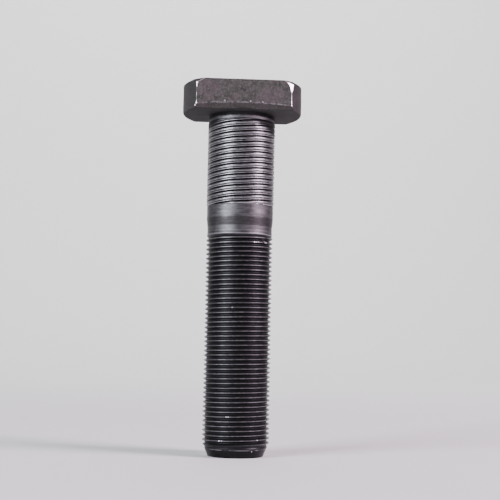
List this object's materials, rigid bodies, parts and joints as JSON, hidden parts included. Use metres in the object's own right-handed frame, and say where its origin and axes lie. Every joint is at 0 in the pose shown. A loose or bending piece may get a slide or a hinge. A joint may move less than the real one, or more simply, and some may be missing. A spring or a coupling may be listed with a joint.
{
  "type": "wheel bolt",
  "caption": "One-piece T-head wheel bolt with a round head flattened on two sides, a rolled press shank and a fine metric thread.",
  "frame": {"origin": "centre of the flat end of the thread, on which the bolt stands", "axes": "+Z along the bolt's axis from the thread to the head, +X along the round width of the head, +Y across its two flats"},
  "size_m": [0.0392, 0.0244, 0.1212],
  "materials": {
    "phosphated_steel": "black phosphate over forged and rolled steel"
  },
  "bodies": {
    "root": {"wheel_bolt": "phosphated_steel"}
  },
  "joints": []
}
